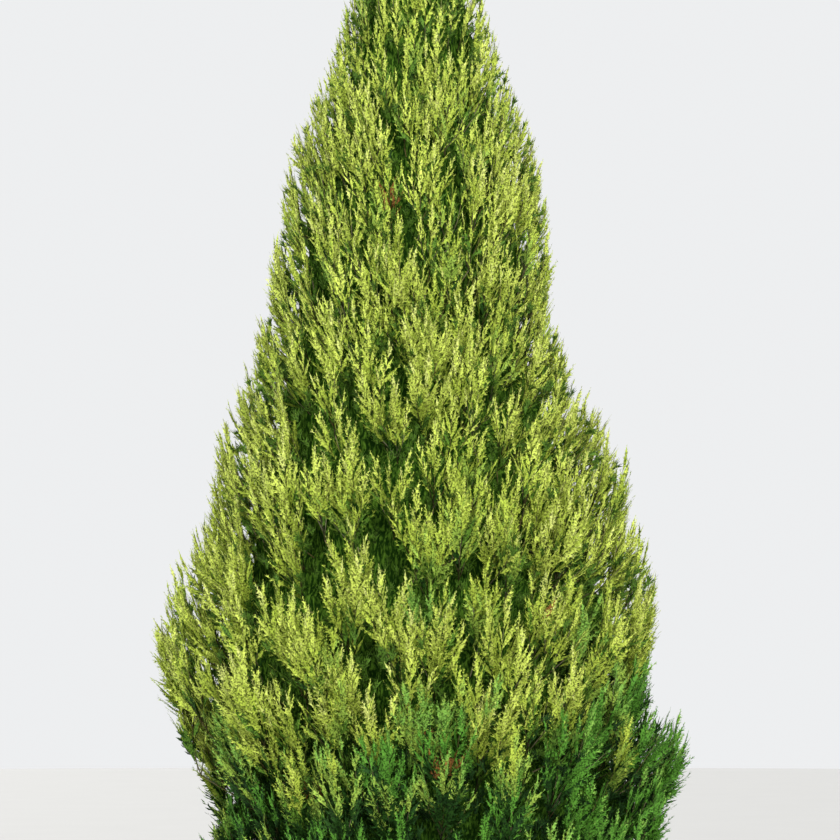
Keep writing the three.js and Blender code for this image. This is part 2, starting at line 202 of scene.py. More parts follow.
# Undergrowth: short fans of sprigs between the plumes and the shaded inside.
FANS = 7000
SPRIGS_IN_A_FAN = 4
FAN_REACH = (0.77, 0.93)
FAN_LOWEST = 0.05
FAN_TOP = 6.05
FAN_CROWDING = 0.62
FAN_RISE = (0.6, 2.6)
FAN_SPRIG = (0.06, 0.11)
FAN_SPRIG_AT_TOP = 0.55
FAN_SPREAD = 0.45
FAN_GREENNESS = (0.3, 0.7)

# Plumes: feathers stand on both sides of a plume's spine, and sprigs on both sides of a feather.
# A lean goes from root to tip, a size from least to most, and a swell is the share at the root, the
# place of the peak, and the share at the tip. Sprigs near the root of a plume are thinned out.
FEWEST_FEATHERS = 5
FIRST_FEATHER = 0.17
LAST_FEATHER = 0.93
FEATHER_JITTER = 0.02
FEATHER_FAN = 0.9
FEATHER_FORWARD = 0.4
FEATHER_LEAN = (0.62, 0.28)
FEATHER_LEAN_JITTER = 0.12
FEATHER_SWELL = (0.75, 0.3, 0.42)
FEATHER_SIZE = (0.8, 1.15)
FEATHER_ROLL = 0.9
TOP_FEATHER = 0.8
TOP_FEATHER_END = 0.9
FEWEST_SPRIGS = 4
FIRST_SPRIG = 0.05
LAST_SPRIG = 0.94
SPRIG_LEAN = (0.62, 0.40)
SPRIG_LEAN_JITTER = 0.15
SPRIG_LIFT = 0.3
SPRIG_SWELL = (0.7, 0.3, 0.5)
SPRIG_SIZE = (0.8, 1.25)
THIN_UP_TO = 0.36
THIN_SHARE = 0.35

# Outlines of leaves, which lie along their first axis: the blade that runs down the middle of a
# feather, a plain sprig for the inside of a plume, and a three-pointed one for the outside.
PLAIN_FACES = np.array([(0, 1, 2), (0, 2, 3)])
BLADE = np.array([
    (0.00, 0.00, 0.00),
    (0.42, -0.10, 0.02),
    (0.96, 0.00, 0.00),
    (0.42, 0.10, 0.02),
])
PLAIN_SPRIG = np.array([
    (0.00, 0.00, 0.00),
    (0.45, -0.12, 0.05),
    (1.00, 0.00, 0.00),
    (0.45, 0.12, 0.05),
])
FORKED_SPRIG = np.array([
    (0.00, -0.08, 0.00),
    (0.00, 0.08, 0.00),
    (1.00, 0.00, 0.03),
    (0.14, 0.00, 0.00),
    (0.46, 0.00, 0.00),
    (0.70, -0.26, 0.06),
    (0.78, 0.24, 0.06),
])
FORKED_FACES = np.array([(0, 2, 1), (3, 5, 4), (3, 4, 6)])
INNER_SHAPE = (PLAIN_SPRIG, PLAIN_FACES)
OUTER_SHAPE = (FORKED_SPRIG, FORKED_FACES)
BLADE_SHAPE = (BLADE, PLAIN_FACES)

# Tones of foliage from the shaded inside to the sunlit tips: of golden plumes, of two steps that are
# turning green, and of the green skirt. A plume takes one of the four as a whole.
GOLDEN_TONES = ("shade", "deep", "olive", "lime", "gold")
OLIVE_TONES = ("shade", "deep", "moss", "olive", "lime")
MOSSY_TONES = ("shade", "dusk", "moss", "fern", "moss")
GREEN_TONES = ("shade", "dusk", "green", "green", "fern")
PALETTES = (GOLDEN_TONES, OLIVE_TONES, MOSSY_TONES, GREEN_TONES)
PALETTE_STEPS = (0.2, 0.42, 0.68)
PALETTE_JITTER = 0.42
KINDS = ("shade", "deep", "olive", "lime", "gold", "dusk", "green", "fern", "moss", "rust")
INNER_KINDS = ("shade", "deep", "dusk")

# How sunlit a leaf is: at the root of a plume, more of it towards the plume's tip, more on the side
# that faces outward and up, and less near the ground, most of all on the left and in front. TINY
# keeps a leaf on the trunk's own axis from having no side at all.
TONE_STEPS = (0.24, 0.36, 0.56, 0.82)
TONE_AT_ROOT = 0.1
TONE_BY_PLACE = 0.68
TONE_BY_SIDE = 0.16
TONE_JITTER = 0.1
FEATHER_TONE_JITTER = 0.09
BLADE_PLACE = 0.3
SIDE_RISE = 0.35
TINY = 1e-6
DIM_AT_FOOT = (0.44, 0.02)
DIM_HEIGHT = 1.65
DIM_BLEND = 0.9
DIM_FADE = (0.5, 0.25)

# The green skirt, greener foliage whose green tones are darker, partly as painted shade near the
# ground:
# the height of the plume tips where green and gold are mixed evenly, its rise towards +X, its drop
# towards the back, its waves round the tree, the depth of the mixing, and how far below such a tip
# the undergrowth stands that belongs to it.
GREEN_HEIGHT = 1.62
GREEN_TILT = 0.22
GREEN_BACK_DROP = 0.45
GREEN_WAVES = ((3, 0.09), (7, 0.07))
GREEN_WAVES_START = 1
GREEN_BLEND = 1.5
GREEN_BELOW_TIP = 0.2

# The lobe low on the right that has turned green, its darker green tones partly painted shade: where
# it starts, its top and its half width, the depth of the mixing at its sides and at its top, and how
# green it is at most.
LOBE_START = 0.75
LOBE_TOP = 2.35
LOBE_HALF_WIDTH = 0.80
LOBE_BLEND = 0.38
LOBE_BLEND_AT_TOP = 0.95
LOBE_STRENGTH = 1.3

# Dead sprays: direction in degrees, height, and size of the patch.
DEAD_SPRAYS = (
    (-97.8, 2.66, 0.055),
    (-88.8, 1.77, 0.045),
    (-85.2, 1.60, 0.055),
    (-118.6, 1.47, 0.060),
    (-99.6, 4.31, 0.050),
    (-60.0, 2.30, 0.045),
    (25.0, 2.05, 0.060),
    (80.0, 1.55, 0.055),
    (130.0, 3.10, 0.050),
    (175.0, 1.90, 0.060),
)
DEAD_REACH = 0.86
DEAD_EDGE = (0.6, 1.3)

# The colour of weathered bark, and the sockets of a mix node that take and give colours.
WEATHERED = (0.4, 0.38, 0.34)
MIX_INPUTS = (6, 7)
MIX_OUTPUT = 2

# Studio: the floor, the light from all around, each lamp's name, direction seen from the tree, width
# in the sky in degrees, strength and colour, and the camera, which looks up by its tilt in degrees.
FLOOR_RADIUS = 60.0
FLOOR_SIDES = 128
SKY = (0.85, 0.86, 0.87)
LIGHTS = (
    ("key_light", (9.5, -22.5, 10.5), 20.0, 2.9, (1.0, 0.97, 0.91)),
    ("fill_light", (-12.0, -12.5, 4.0), 32.0, 1.35, (0.98, 0.99, 1.0)),
    ("back_light", (-5.0, 15.0, 9.0), 32.0, 1.3, (1.0, 0.98, 0.94)),
)
CAMERA_PLACE = (0.0, -10.4, 1.6)
CAMERA_TILT = 8.56
CAMERA_LENS = 85.7
SENSOR_WIDTH = 36.0


def linear(red, green, blue):
    """A colour as the eye reads it, from 0 to 255, turned into light."""
    return tuple(
        part / 255 / 12.92 if part <= 10 else ((part / 255 + 0.055) / 1.055) ** 2.4
        for part in (red, green, blue)
    )


def colour_property(name, description, red, green, blue):
    return bpy.props.FloatVectorProperty(
        name=name,
        description=description,
        default=linear(red, green, blue),
        subtype="COLOR",
        size=3,
        min=0,
        max=1,
    )


def length_property(name, description, default):
    return bpy.props.FloatProperty(
        name=name, description=description, default=default, min=0, unit="LENGTH"
    )


def share_property(name, description, default):
    return bpy.props.FloatProperty(
        name=name, description=description, default=default, min=0, max=1, subtype="FACTOR"
    )


class CypressSizes(bpy.types.PropertyGroup):
    """Sizes of the foliage and of the bark's relief."""

    plume_low: length_property("Plume at the foot", "Length of a plume low in the crown", 0.58)
    plume_top: length_property("Plume at the tip", "Length of a plume at the top of the crown", 0.30)
    feather_gap: length_property("Feather gap", "Distance between feathers on a plume", 0.040)
    sprig_gap: length_property("Sprig gap", "Distance between sprigs on a feather", 0.0146)
    bark_relief: length_property("Bark relief", "Depth of the furrows in the trunk's bark", 0.005)
    feather_share: share_property("Feather share", "Longest feather as a share of its plume", 0.36)
    sprig_share: share_property("Sprig share", "Longest sprig as a share of its feather", 0.31)


class CypressColours(bpy.types.PropertyGroup):
    """Colours of foliage, bark and floor."""

    gold: colour_property("Golden tips", "Sunlit tips of the plumes", 200, 210, 116)
    lime: colour_property("Lime sprays", "Outer sprays of the plumes", 190, 206, 90)
    olive: colour_property("Olive sprays", "Sprays further in", 168, 188, 70)
    fern: colour_property("Fern green tips", "Tips of the green skirt", 126, 172, 72)
    moss: colour_property("Mossy sprays", "Sprays of plumes that are turning green", 148, 178, 72)
    green: colour_property("Green sprays", "Sprays of the green skirt", 84, 138, 46)
    dusk: colour_property("Dusky green sprays", "Inner sprays of the green skirt", 32, 66, 22)
    deep: colour_property("Deep green sprays", "Sprays near the root of a plume", 84, 120, 38)
    shade: colour_property("Shaded foliage", "Foliage that gets no sun", 36, 70, 20)
    rust: colour_property("Dead sprays", "Dry brown sprays", 132, 92, 46)
    bark: colour_property("Trunk bark", "Fibrous bark of the trunk", 112, 82, 60)
    twig: colour_property("Bough bark", "Thin bark of the boughs", 120, 78, 52)
    young_twig: colour_property("Twig bark", "Green and brown bark of young twigs", 104, 96, 50)
    floor: colour_property("Floor", "Pale floor of the studio", 184, 184, 183)


# The growing rule.


def chain(seed):
    """The same numbers each time: a simple chain of remainders."""
    state = (seed * CHAIN_START) % CHAIN_PRIME
    while True:
        state = (state * CHAIN_FACTOR) % CHAIN_PRIME
        yield state / CHAIN_PRIME


def spread(numbers, size):
    """The next number of a chain, from -size to size."""
    return (next(numbers) * 2 - 1) * size


def either_way(random, size, shape=None):
    """Random numbers from -size to size."""
    return random.uniform(-size, size, shape)


def lerp(start, end, share):
    """From start to end by a share from 0 to 1."""
    return start + (end - start) * share


def smooth(share):
    """A share from 0 to 1 that starts and ends gently."""
    share = np.clip(share, 0, 1)
    return share * share * (3 - 2 * share)


def unit(vectors):
    """Vectors brought to a length of 1."""
    return vectors / np.linalg.norm(vectors, axis=-1, keepdims=True)


def axis_at(height):
    """The middle of the trunk at a height: a slight lean and one slow bend."""
    height = np.asarray(height, float)
    share = height / HEIGHT
    bend = np.sin(share * FULL_TURN)
    return np.stack([LEAN[0] * share + BEND[0] * bend, LEAN[1] * share + BEND[1] * bend, height], -1)


def reach(height, angle):
    """How far the crown reaches from the trunk at a height and in a direction."""
    left = np.interp(height, OUTLINE[:, 0], OUTLINE[:, 1])
    right = np.interp(height, OUTLINE[:, 0], OUTLINE[:, 2])
    return lerp(left, right, (1 + np.cos(angle)) / 2)


def rise(height):
    """How steeply the layers of foliage rise outward. They lie flat at the foot."""
    return RISE_OF_BODY * smooth(height / RISE_HEIGHT) + RISE_MORE_AT_TIP * height / HEIGHT


def outward(angle):
    """The level direction at an angle."""
    return np.stack([np.cos(angle), np.sin(angle), np.zeros_like(angle)], -1)


def crown_point(angle, rim, share):
    """A point of the crown: direction, height where its layer meets the outline, share of the reach."""
    angle, rim, share = np.broadcast_arrays(np.asarray(angle, float), rim, share)
    full = reach(rim, angle)
    height = rim - rise(rim) * full * (1 - share)
    return axis_at(height) + outward(angle) * (full * share)[..., None]


def spaces():
    """The space of every mass, ring by ring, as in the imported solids."""
    found = []
    for index, (name, low, high, masses, turn, rows, columns, branches) in enumerate(TIERS):
        numbers = chain(SEED + index)
        edges = []
        for place in range(masses):
            edges.append((place + turn + spread(numbers, SECTOR_JITTER)) / masses * FULL_TURN)
        edges.append(edges[0] + FULL_TURN)
        for place in range(masses):
            found.append({
                "name": name,
                "low": low,
                "high": high,
                "start": edges[place],
                "end": edges[place + 1],
                "twist": SECTOR_TWIST * FULL_TURN / masses,
                "rows": rows,
                "columns": columns,
                "branches": branches,
                "seed": SEED + 100 * (index + 1) + place,
            })
    return found


def point_in(space, across, up, out):
    """A point of a mass's space: across from -1 to 1, up and outward from 0 to 1."""
    rim = lerp(space["low"] + SPACE_GAP, space["high"] - SPACE_GAP, up)
    angle = lerp(space["start"], space["end"], (across + 1) / 2) + space["twist"] * (up - 0.5)
    return crown_point(angle, rim, lerp(INNER_SHARE, 1, out))


def bezier(start, knee, end, share):
    """Points and directions on a curve, or on many at once."""
    share = np.asarray(share, float)[..., None]
    place = (1 - share) ** 2 * start + 2 * (1 - share) * share * knee + share**2 * end
    way = (1 - share) * (knee - start) + share * (end - knee)
    return place, unit(way)


def bough_path(space):
    """The path of a bough: out of the trunk, bending upward, to the inner side of its mass."""
    end = point_in(space, 0, BOUGH_MEETS_AT, 0)
    run = math.hypot(end[0], end[1])
    start = axis_at(max(end[2] - run * (BOUGH_SLOPE + rise(end[2]) / 2), BOUGH_LOWEST))
    knee = (start + end) / 2 - UP * run * BOUGH_SAG
    return start, knee, end


def bough_radius(space):
    """How thick a bough is where it leaves the trunk. Higher boughs are thinner."""
    return lerp(BOUGH_RADIUS, BOUGH_RADIUS_AT_TOP, space["low"] / SPIRE_LOW)


def stem_path(space):
    """The stem of a mass, which goes on from the tip of its bough."""
    _, knee, foot = bough_path(space)
    way = unit(foot - knee)
    return foot, foot + way * STEM_KNEE * (space["high"] - space["low"]), point_in(space, *STEM_END)


def facing_side(angle, numbers):
    """The direction in which a plume is broad."""
    out = outward(np.asarray(angle))
    return unit(np.cross(UP, out) + out * spread(numbers, PLUME_TWIST))


def plume_at(angle, rim, share, length, numbers):
    """A plume as root, knee, tip and side: it leaves the crown's inside and turns upward."""
    tip = crown_point(angle, rim, share)
    lean = lerp(*PLUME_LEAN, min(rim / SPIRE_LOW, 1))
    run = length * lean * (1 + spread(numbers, LEAN_JITTER))
    climb = math.sqrt(length**2 - run**2)
    out = outward(np.asarray(angle))
    root = tip - out * run - UP * climb
    root[2] = max(root[2], ROOT_LOWEST)
    knee = root + out * run * PLUME_KNEE[0] + UP * (tip[2] - root[2]) * PLUME_KNEE[1]
    return root, knee, tip, facing_side(angle, numbers)


def branch_at(main, angle, rim, number, branches, numbers):
    """A smaller plume that leaves the spine of another and ends lower and to one side of it."""
    hand = 1 if number % 2 else -1
    width = lerp(*BRANCH_WIDTH, min(rim / SPIRE_LOW, 1))
    width = width * (BRANCH_NARROWEST + BRANCH_WIDENING * next(numbers))
    angle = angle + hand * width / reach(rim, angle)
    rim = rim - width * BRANCH_DROP - number * BRANCH_STEP * next(numbers)
    tip = crown_point(angle, max(rim, FIRST_TIP), TIP_REACH - next(numbers) * REACH_JITTER)
    spot = lerp(BRANCH_LAST, BRANCH_FIRST, (number + next(numbers)) / branches)
    root, _ = bezier(*main[:3], spot)
    run = (tip - root) * (1, 1, 0)
    knee = root + run * BRANCH_KNEE[0] + UP * (tip[2] - root[2]) * BRANCH_KNEE[1]
    return root, knee, tip, facing_side(angle, numbers)


def plume_length(sizes, height, numbers):
    """The length of a plume at a height, a little more or less than its neighbours."""
    length = lerp(sizes.plume_low, sizes.plume_top, height / HEIGHT)
    return length * (1 + spread(numbers, LENGTH_JITTER))


def plumes_of(space, sizes):
    """The plumes of one mass, each with the fork that its twig leaves, or None on a branch."""
    numbers = chain(space["seed"])
    stem = stem_path(space)
    found = []
    rows, columns = space["rows"], space["columns"]
    for row in range(rows):
        stagger = COLUMN_STAGGER if row % 2 == 0 else -COLUMN_STAGGER
        for column in range(columns):
            across = (column + 0.5) / columns * 2 - 1 + stagger + spread(numbers, COLUMN_JITTER)
            up = lerp(FIRST_TIP, LAST_TIP, (row + 1 - next(numbers) * ROW_JITTER) / rows)
            fork, _ = bezier(*stem, lerp(FIRST_FORK, LAST_FORK, row / rows))
            rim = lerp(space["low"], space["high"], up)
            angle = lerp(space["start"], space["end"], (across * COLUMN_OVERLAP + 1) / 2)
            angle += space["twist"] * (up - 0.5)
            share = TIP_REACH - next(numbers) * REACH_JITTER
            length = plume_length(sizes, rim, numbers)
            main = plume_at(angle, rim, share, length, numbers)
            found.append((fork, main))
            for number in range(space["branches"]):
                branch = branch_at(main, angle, rim, number, space["branches"], numbers)
                found.append((None, branch))
    return found


def plumes_of_spire(sizes):
    """The plumes round the top of the trunk, and the upright one that ends the tree."""
    numbers = chain(SEED * 2)
    found = []
    for row in range(SPIRE_ROWS):
        for column in range(SPIRE_COLUMNS):
            turn = column + row % 2 / 2 + spread(numbers, SPIRE_COLUMN_JITTER)
            angle = turn / SPIRE_COLUMNS * FULL_TURN
            up = (row + next(numbers) * SPIRE_ROW_JITTER) / SPIRE_ROWS
            rim = lerp(SPIRE_LOW, HEIGHT - SPIRE_TOP_GAP, up)
            plume = plume_at(angle, rim, TIP_REACH, plume_length(sizes, rim, numbers), numbers)
            found.append((axis_at(plume[0][2] - SPIRE_FORK_DROP), plume))
    tip = axis_at(HEIGHT)
    foot = tip - UP * sizes.plume_top
    for side in (np.array([1.0, 0.0, 0.0]), np.array([0.0, 1.0, 0.0])):
        found.append((foot, (foot, (foot + tip) / 2, tip, side)))
    return found


def swell(share, low, peak, high):
    """A profile along a plume or feather: low at the root, 1 at the peak, high at the tip."""
    inner = lerp(low, 1, smooth(share / peak))
    outer = lerp(1, high, smooth((share - peak) / (1 - peak)))
    return np.where(share < peak, inner, outer)


def feathers_of(plume, sizes, random):
    """The feathers of one plume, and the one at its top: path, facing, size, place, direction."""
    root, knee, tip, side = plume
    length = np.linalg.norm(tip - root)
    count = max(FEWEST_FEATHERS, round(length / sizes.feather_gap))
    along = np.linspace(FIRST_FEATHER, LAST_FEATHER, count)
    along = along + either_way(random, FEATHER_JITTER, count)
    place, way = bezier(root, knee, tip, along)
    face = unit(np.cross(side, way))
    across = np.cross(way, face)
    hand = np.arange(count) % 2
    turn = math.pi * hand + FEATHER_FORWARD * (1 - 2 * hand)
    turn = turn + either_way(random, FEATHER_FAN, count)
    out = across * np.cos(turn)[:, None] + face * np.sin(turn)[:, None]
    lean = lerp(*FEATHER_LEAN, along) + either_way(random, FEATHER_LEAN_JITTER, count)
    size = length * sizes.feather_share * swell(along, *FEATHER_SWELL)
    size *= random.uniform(*FEATHER_SIZE, count)
    first = way * np.cos(lean)[:, None] + out * np.sin(lean)[:, None]
    last = way * np.cos(lean / 2)[:, None] + out * np.sin(lean / 2)[:, None]
    bend = place + first * size[:, None] / 2
    end = bend + last * size[:, None] / 2
    top, _ = bezier(root, knee, tip, TOP_FEATHER)
    return {
        "foot": np.vstack([place, top]),
        "bend": np.vstack([bend, (top + tip) / 2]),
        "end": np.vstack([end, lerp(top, tip, TOP_FEATHER_END)]),
        "face": np.vstack([face, face[-1]]),
        "size": np.append(size, np.linalg.norm(tip - top)),
        "along": np.append(along, TOP_FEATHER),
        "out": np.vstack([out, np.zeros(3)]),
    }


def leaves_of(plume, sizes, random):
    """The leaves of one plume: sprigs in two rows on each feather, and a blade down its middle."""
    length = np.linalg.norm(plume[2] - plume[0])
    feathers = feathers_of(plume, sizes, random)
    foot, end, size, along = (feathers[key] for key in ("foot", "end", "size", "along"))
    count = max(FEWEST_SPRIGS, round(float(size.mean()) / sizes.sprig_gap))
    share = np.append(np.linspace(FIRST_SPRIG, LAST_SPRIG, count), 1.0)
    share = np.tile(share, (len(foot), 1))
    spot, run = bezier(foot[:, None], feathers["bend"][:, None], end[:, None], share)
    roll = either_way(random, FEATHER_ROLL, len(foot))[:, None]
    flat = unit(end - foot)
    normal = feathers["face"] * np.cos(roll) + np.cross(flat, feathers["face"]) * np.sin(roll)
    normal = unit(normal)[:, None]
    wide = unit(np.cross(normal, run))
    hand = np.where(np.arange(count + 1) % 2 == 0, 1.0, -1.0)
    hand[-1] = 0
    lean = (lerp(*SPRIG_LEAN, share) + either_way(random, SPRIG_LEAN_JITTER, share.shape)) * hand
    lift = either_way(random, SPRIG_LIFT, share.shape)[..., None]
    aim = unit(run * np.cos(lean)[..., None] + wide * np.sin(lean)[..., None] + normal * lift)
    long = size[:, None] * sizes.sprig_share * swell(share, *SPRIG_SWELL)
    long = long * random.uniform(*SPRIG_SIZE, share.shape)
    facing = unit(np.cross(aim, np.cross(normal, aim)) + wide * lift)
    far = along[:, None] + share * size[:, None] / length
    feather_tone = either_way(random, FEATHER_TONE_JITTER, len(foot))
    tone = feather_tone[:, None] + either_way(random, TONE_JITTER, share.shape)
    kept = (far > THIN_UP_TO) | (random.random(far.shape) < THIN_SHARE)
    out = np.broadcast_to(feathers["out"][:, None], spot.shape)
    sprigs = {
        "foot": spot[kept],
        "aim": aim[kept],
        "facing": facing[kept],
        "long": long[kept],
        "far": far[kept],
        "tone": tone[kept],
        "out": out[kept],
    }
    blades = {
        "foot": foot,
        "aim": flat,
        "facing": normal[:, 0],
        "long": size,
        "far": along + BLADE_PLACE * size / length,
        "tone": feather_tone,
        "out": feathers["out"],
    }
    return sprigs, blades


def tone_of(leaves, random):
    """How sunlit each leaf is, from 0 inside the crown to 1 at a plume's tip."""
    foot = leaves["foot"]
    away = foot - axis_at(foot[:, 2])
    away[:, 2] = SIDE_RISE * np.linalg.norm(away, axis=1)
    facing_out = (leaves["out"] * unit(away + TINY)).sum(1)
    bright = smooth(0.5 + foot[:, 0] * DIM_FADE[0] + foot[:, 1] * DIM_FADE[1])
    dim = lerp(*DIM_AT_FOOT, bright) * smooth((DIM_HEIGHT - foot[:, 2]) / DIM_BLEND)
    tone = TONE_AT_ROOT + TONE_BY_PLACE * leaves["far"] + TONE_BY_SIDE * facing_out - dim
    return tone + leaves["tone"] + either_way(random, TONE_JITTER)


def greenness(points):
    """How far the foliage has turned green, with darker tones partly as painted shade: near the ground,
    and on the lobe low on the right.
    """
    angle = np.arctan2(points[:, 1], points[:, 0])
    edge = GREEN_HEIGHT + GREEN_TILT * np.cos(angle) - GREEN_BACK_DROP * (1 + np.sin(angle)) / 2
    for waves, height in GREEN_WAVES:
        edge += height * np.sin(waves * (angle + GREEN_WAVES_START))
    low = smooth((edge - points[:, 2]) / GREEN_BLEND + 0.5)
    return np.maximum(low, LOBE_STRENGTH * lobe_share(points))


def lobe_share(points):
    """How far a point lies in the lobe low on the right, which has turned green, its darker tones
    partly painted shade.
    """
    outside = smooth((points[:, 0] - LOBE_START) / LOBE_BLEND)
    below = smooth((LOBE_TOP - points[:, 2]) / LOBE_BLEND_AT_TOP)
    beside = smooth((LOBE_HALF_WIDTH - np.abs(points[:, 1])) / LOBE_BLEND + 0.5)
    return outside * below * beside


def dead_places():
    """Middle and radius of every patch of dead sprays."""
    angle, rim, radius = np.array(DEAD_SPRAYS).T
    return crown_point(np.radians(angle), rim, DEAD_REACH), radius


def palette_of(plume, mood):
    """The palette of a whole plume, by where its tip is."""
    return PALETTES[np.digitize(greenness(plume[2][None])[0] + mood, PALETTE_STEPS)]


def kinds_of(leaves, palette, random):
    """The kind of each leaf, as a place in KINDS."""
    step = np.digitize(tone_of(leaves, random), TONE_STEPS)
    kinds = np.array([KINDS.index(name) for name in palette])[step]
    for place, radius in zip(*dead_places()):
        away = np.linalg.norm(leaves["foot"] - place, axis=1)
        kinds[away < radius * random.uniform(*DEAD_EDGE, len(step))] = KINDS.index("rust")
    return kinds


# Meshes.


def around(sides):
    """Directions all round, evenly spaced."""
    return np.arange(sides) / sides * FULL_TURN


def square_to(way, turn):
    """Directions square to a path, all round each of its points."""
    side = unit(np.cross(way, ASLANT))
    over = np.cross(way, side)
    return side[..., None, :] * np.cos(turn)[:, None] + over[..., None, :] * np.sin(turn)[:, None]


def leaf_mesh(shape, leaves, chosen):
    """The chosen leaves of a lot, all of one shape."""
    outline, faces = shape
    foot, aim, facing, long = (leaves[key][chosen] for key in ("foot", "aim", "facing", "long"))
    axes = np.stack([aim, np.cross(facing, aim), facing], 1)
    points = foot[:, None] + np.einsum("pk,nkd->npd", outline, axes) * long[:, None, None]
    first = np.arange(len(foot))[:, None, None] * len(outline)
    return points.reshape(-1, 3), (faces + first).reshape(-1, 3)


def leaf_meshes(leaves, kinds, inner, outer):
    """The leaves of a lot, kind by kind: the kind, and its mesh in the inner or the outer shape."""
    for place, kind in enumerate(KINDS):
        chosen = kinds == place
        if chosen.any():
            yield kind, leaf_mesh(inner if kind in INNER_KINDS else outer, leaves, chosen)


def rod_mesh(start, knee, end, radii, sides, rings):
    """Rods along many curves at once, each tapering between the same two radii."""
    share = np.linspace(0, 1, rings + 1)
    place, way = bezier(start[:, None], knee[:, None], end[:, None], share[None])
    points = place[:, :, None] + square_to(way, around(sides)) * lerp(*radii, share)[:, None, None]
    return points.reshape(-1, 3), tube_faces(len(start), sides, rings)


def relief(turn, height, seed):
    """Furrows of fibrous bark: strips that run up the limb and wander a little, from -1 to 1."""
    numbers = chain(seed)
    total = np.zeros(np.broadcast(turn, height).shape)
    for ribs, weight in BARK_RIBS:
        phase = next(numbers) * FULL_TURN
        pace = WANDER_PACE + WANDER_PACE_SPREAD * next(numbers)
        wander = WANDER_SIZE * np.sin(height * pace + phase)
        pace = BREAK_PACE + ribs * next(numbers)
        broken = BREAK_SIZE * np.sin(height * pace + turn * BREAK_TURN + phase)
        total = total + weight * np.sin(ribs * turn + wander + phase + broken)
    return total


def limb_mesh(path, radii, sides, rings, depth, seed):
    """One limb that tapers between two radii, with furrows of bark in its mesh."""
    share = np.linspace(0, 1, rings + 1)
    place, way = bezier(*path, share)
    turn = around(sides)
    radius = lerp(*radii, share)[:, None]
    height = share[:, None] * np.linalg.norm(path[2] - path[0])
    radius = radius + relief(turn, height, seed) * np.minimum(depth, radius * BOUGH_FURROW_SHARE)
    points = place[:, None] + square_to(way, turn) * radius[..., None]
    return points.reshape(-1, 3), tube_faces(1, sides, rings)


def lumps_at(turn, rim):
    """Broad and small lumps of the shaded inside, from -1 to 1, as waves that bend each other."""
    broad = np.sin(turn * 11 + 3 * np.sin(rim * 4.1)) * np.sin(rim * 13 + 2 * np.sin(turn * 5))
    small = np.sin(turn * 23 + 2 * np.sin(rim * 9.7)) * np.sin(rim * 29 + turn * 4)
    return (broad + small) / 2


def tube_faces(tubes, sides, rings):
    """The triangles of closed tubes whose points run ring by ring."""
    faces = []
    for ring in range(rings):
        for side in range(sides):
            here, beside = ring * sides + side, ring * sides + (side + 1) % sides
            faces += [(here, beside, beside + sides), (here, beside + sides, here + sides)]
    last = rings * sides
    for side in range(1, sides - 1):
        faces += [(0, side + 1, side), (last, last + side, last + side + 1)]
    first = np.arange(tubes)[:, None, None] * sides * (rings + 1)
    return (np.array(faces)[None] + first).reshape(-1, 3)


def joined(parts):
    """Many lots of points and faces as one."""
    points, faces, count = [], [], 0
    for some_points, some_faces in parts:
        points.append(some_points)
        faces.append(some_faces + count)
        count += len(some_points)
    return np.vstack(points), np.vstack(faces)


def add_piece(name, points, faces, material, nodes, is_smooth=False):
    """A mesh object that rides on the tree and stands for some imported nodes."""
    mesh = bpy.data.meshes.new(name)
    mesh.vertices.add(len(points))
    mesh.vertices.foreach_set("co", np.ascontiguousarray(points, np.float32).ravel())
    mesh.loops.add(faces.size)
    mesh.loops.foreach_set("vertex_index", np.ascontiguousarray(faces, np.int32).ravel())
    mesh.polygons.add(len(faces))
    mesh.polygons.foreach_set("loop_start", np.arange(0, faces.size, 3, dtype=np.int32))
    mesh.polygons.foreach_set("use_smooth", np.full(len(faces), is_smooth))
    mesh.materials.append(material)
    mesh.update(calc_edges=True)
    piece = bpy.data.objects.new(name, mesh)
    bpy.context.scene.collection.objects.link(piece)
    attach(piece, BODY)
    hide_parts(*nodes)
    return piece


# Materials.


def add_node(tree, kind, inputs=None, **settings):
    """A node with its settings, and with values for some of its inputs."""
    node = tree.nodes.new(kind)
    for key, value in settings.items():
        setattr(node, key, value)
    for key, value in (inputs or {}).items():
        node.inputs[key].default_value = value
    return node


def new_material(name, roughness, specular):
    """A material, its node tree, its shader, and the place on the piece."""
    material = bpy.data.materials.new(name)
    material.use_nodes = True
    tree = material.node_tree
    shader = tree.nodes["Principled BSDF"]
    shader.inputs["Roughness"].default_value = roughness
    shader.inputs["Specular IOR Level"].default_value = specular
    place = add_node(tree, "ShaderNodeTexCoord")
    return material, tree, shader, place.outputs["Object"]


def add_stretch(tree, place, across, along):
    """The place, scaled across the upright and along it."""
    stretch = add_node(tree, "ShaderNodeMapping", {"Scale": (across, across, along)})
    tree.links.new(place, stretch.inputs["Vector"])
    return stretch.outputs["Vector"]


def add_noise(tree, place, scale=1.0, detail=3.0, rough=0.55):
    """Soft noise from 0 to 1."""
    noise = add_node(
        tree, "ShaderNodeTexNoise", {"Scale": scale, "Detail": detail, "Roughness": rough}
    )
    tree.links.new(place, noise.inputs["Vector"])
    return noise.outputs["Fac"]


def add_mix(tree, share, *colours):
    """Mixes two colours, each a plain colour or a node's output."""
    mix = add_node(tree, "ShaderNodeMix", data_type="RGBA")
    tree.links.new(share, mix.inputs["Factor"])
    for place, colour in zip(MIX_INPUTS, colours):
        if isinstance(colour, bpy.types.NodeSocket):
            tree.links.new(colour, mix.inputs[place])
        else:
            mix.inputs[place].default_value = (*colour, 1)
    return mix.outputs[MIX_OUTPUT]


def add_ramp(tree, value, none, full):
    """A share that is 0 where the value is none, and 1 where it is full."""
    ramp = add_node(tree, "ShaderNodeMapRange", {"From Min": none, "From Max": full})
    tree.links.new(value, ramp.inputs["Value"])
    return ramp.outputs["Result"]


def add_bump(tree, shader, height, strength, distance):
    """Gives a material small bumps from a height between 0 and 1."""
    bump = add_node(tree, "ShaderNodeBump", {"Strength": strength, "Distance": distance})
    tree.links.new(height, bump.inputs["Height"])
    tree.links.new(bump.outputs["Normal"], shader.inputs["Normal"])


